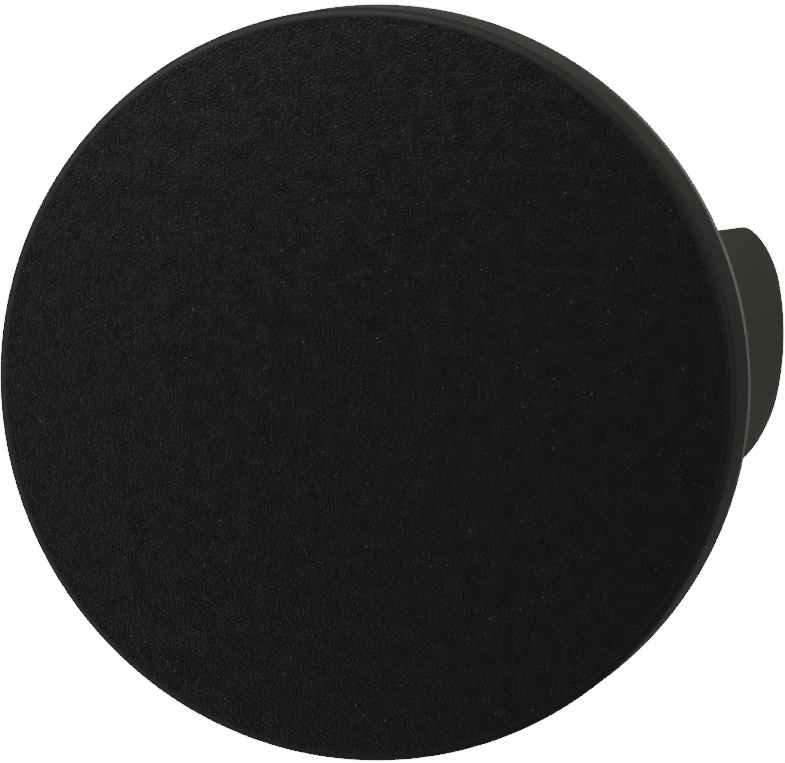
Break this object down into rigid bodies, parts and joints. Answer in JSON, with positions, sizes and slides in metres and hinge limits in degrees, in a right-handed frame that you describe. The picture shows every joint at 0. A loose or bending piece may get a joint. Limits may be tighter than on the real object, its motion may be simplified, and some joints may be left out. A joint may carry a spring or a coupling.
{
  "type": "desk grommet",
  "caption": "Round blank desk grommet: a grained flat cap that lifts off a flanged collar held in its hole by broad sprung legs.",
  "frame": {"origin": "on the axis of the grommet, level with the leg tips that it stands on", "axes": "+Z along the axis, towards the face of the cap; +X towards leg_1"},
  "size_m": [0.05, 0.05, 0.042],
  "materials": {
    "cap_plastic": "fine moulded grain on the face, smooth satin skirt",
    "spigot_plastic": "satin",
    "ring_rubber": "matte",
    "liner_plastic": "satin",
    "leg_plastic": "smooth satin",
    "screw_steel": "zinc plated"
  },
  "bodies": {
    "liner": {"liner_collar": "liner_plastic", "leg_clamp_ring": "liner_plastic", "clamp_screw_1": "screw_steel", "clamp_screw_2": "screw_steel", "clamp_screw_3": "screw_steel"},
    "leg_1": {"leg_1": "leg_plastic"},
    "leg_2": {"leg_2": "leg_plastic"},
    "leg_3": {"leg_3": "leg_plastic"},
    "seal": {"cap_o_ring": "ring_rubber"},
    "cap": {"cap_shell": "cap_plastic", "cap_spigot": "spigot_plastic"}
  },
  "joints": [
    {"name": "leg_1_flex", "type": "hinge", "parent": "liner", "child": "leg_1", "pos_m": [0.01655, 0, 0.03015], "axis": [0, 1, 0], "range_deg": [0, 3.5], "stiffness_Nm_per_rad": 0.8},
    {"name": "leg_2_flex", "type": "hinge", "parent": "liner", "child": "leg_2", "pos_m": [-0.00827, 0.01433, 0.03015], "axis": [-0.866, -0.5, 0], "range_deg": [0, 3.5], "stiffness_Nm_per_rad": 0.8},
    {"name": "leg_3_flex", "type": "hinge", "parent": "liner", "child": "leg_3", "pos_m": [-0.00827, -0.01433, 0.03015], "axis": [0.866, -0.5, 0], "range_deg": [0, 3.5], "stiffness_Nm_per_rad": 0.8},
    {"name": "cap_lift", "type": "slide", "parent": "liner", "child": "seal", "axis": [0, 0, 1], "range_m": [0, 0.015]},
    {"name": "cap_turn", "type": "hinge", "parent": "seal", "child": "cap", "pos_m": [0, 0, 0.0353], "axis": [0, 0, 1], "continuous": true}
  ]
}
